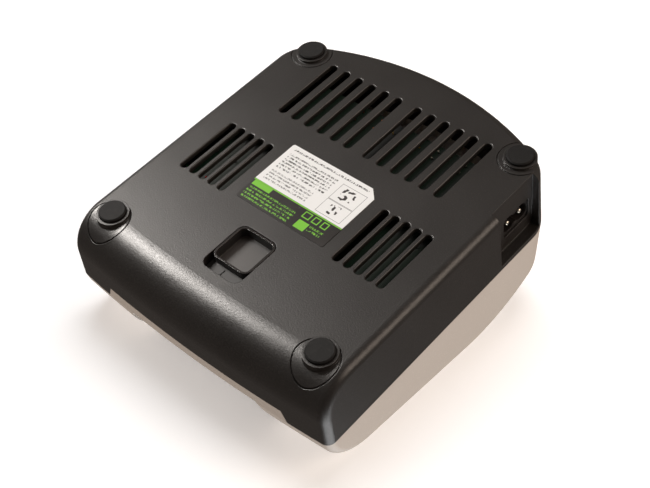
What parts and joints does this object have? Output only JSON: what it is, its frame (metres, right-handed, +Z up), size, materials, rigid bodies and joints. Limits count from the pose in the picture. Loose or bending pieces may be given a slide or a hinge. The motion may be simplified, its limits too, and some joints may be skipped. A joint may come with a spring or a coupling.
{
  "type": "power tool battery charger",
  "caption": "Desktop charger for power tool batteries: two-tone housing on rubber feet, lift-off battery adapter with a contact well, sprung adapter release slide, two-pole mains inlet.",
  "frame": {"origin": "on the table below the middle of the housing, at the undersides of the rubber feet", "axes": "+X to the right seen from the front, +Y to the rear, +Z up as the charger stands in use"},
  "size_m": [0.149, 0.1688, 0.0727],
  "materials": {
    "adapter_contacts": "nickel on brass",
    "adapter_plate": "near black",
    "adapter_screws": "black oxide",
    "adapter_shell": "fine texture, near black",
    "base_housing": "fine spark-eroded texture, near black",
    "board_screws": "zinc plated",
    "bulk_capacitor": "black sleeve, bare metal top",
    "choke_core": "coated ferrite",
    "choke_windings": "enamelled copper",
    "circuit_board": "solder resist",
    "control_chip": "moulded package, tinned legs",
    "fuse": "clear tube with metal caps",
    "fuse_clips": "tinned brass",
    "green_led": "tinted clear lens",
    "heatsink_screws": "zinc plated",
    "housing_screws": "zinc plated",
    "inlet_pins": "nickel on brass",
    "latch_screw": "zinc plated",
    "latch_slider": "natural white moulding",
    "light_pipes": "clear acrylic",
    "mains_inlet": "black, lightly glossy",
    "optocoupler": "white moulded package, tinned legs",
    "output_capacitors": "dark blue sleeve, bare metal top",
    "primary_heatsink": "bare sheet",
    "rating_label": "satin printed film, pale band over dark band",
    "rectifier_diode": "moulded body, tinned tab",
    "red_led": "tinted clear lens",
    "release_button": "satin, near black",
    "release_spring": "bright spring wire",
    "rubber_foot_front_left": "matte black rubber",
    "rubber_foot_front_right": "matte black rubber",
    "rubber_foot_rear_left": "matte black rubber",
    "rubber_foot_rear_right": "matte black rubber",
    "secondary_heatsink": "bare sheet",
    "switching_transistor": "moulded body, tinned tab",
    "terminal_block": "black moulding",
    "terminal_clips": "tinned spring bronze",
    "top_housing": "fine spark-eroded texture, warm light grey",
    "transformer_bobbin": "phenolic",
    "transformer_core": "ferrite",
    "transformer_winding": "yellow tape over copper",
    "x_capacitor": "yellow box"
  },
  "bodies": {
    "housing": {"base_housing": "base_housing", "board_screws": "board_screws", "bulk_capacitor": "bulk_capacitor", "choke_core": "choke_core", "choke_windings": "choke_windings", "circuit_board": "circuit_board", "control_chip": "control_chip", "fuse": "fuse", "fuse_clips": "fuse_clips", "green_led": "green_led", "heatsink_screws": "heatsink_screws", "housing_screws": "housing_screws", "inlet_pins": "inlet_pins", "light_pipes": "light_pipes", "mains_inlet": "mains_inlet", "optocoupler": "optocoupler", "output_capacitors": "output_capacitors", "primary_heatsink": "primary_heatsink", "rating_label": "rating_label", "rectifier_diode": "rectifier_diode", "red_led": "red_led", "release_spring": "release_spring", "rubber_foot_front_left": "rubber_foot_front_left", "rubber_foot_front_right": "rubber_foot_front_right", "rubber_foot_rear_left": "rubber_foot_rear_left", "rubber_foot_rear_right": "rubber_foot_rear_right", "secondary_heatsink": "secondary_heatsink", "switching_transistor": "switching_transistor", "terminal_block": "terminal_block", "terminal_clips": "terminal_clips", "top_housing": "top_housing", "transformer_bobbin": "transformer_bobbin", "transformer_core": "transformer_core", "transformer_winding": "transformer_winding", "x_capacitor": "x_capacitor"},
    "release_slide": {"release_button": "release_button", "latch_slider": "latch_slider", "latch_screw": "latch_screw"},
    "adapter": {"adapter_shell": "adapter_shell", "adapter_plate": "adapter_plate", "adapter_contacts": "adapter_contacts", "adapter_screws": "adapter_screws"}
  },
  "joints": [
    {"name": "adapter_release", "type": "slide", "parent": "housing", "child": "release_slide", "axis": [0, -1, 0], "range_m": [0, 0.0056], "stiffness_N_per_m": 300, "springref_m": -0.004, "deforming": ["release_spring"]},
    {"name": "adapter_lift", "type": "slide", "parent": "housing", "child": "adapter", "axis": [0, 0, 1], "range_m": [0, 0.06]}
  ]
}
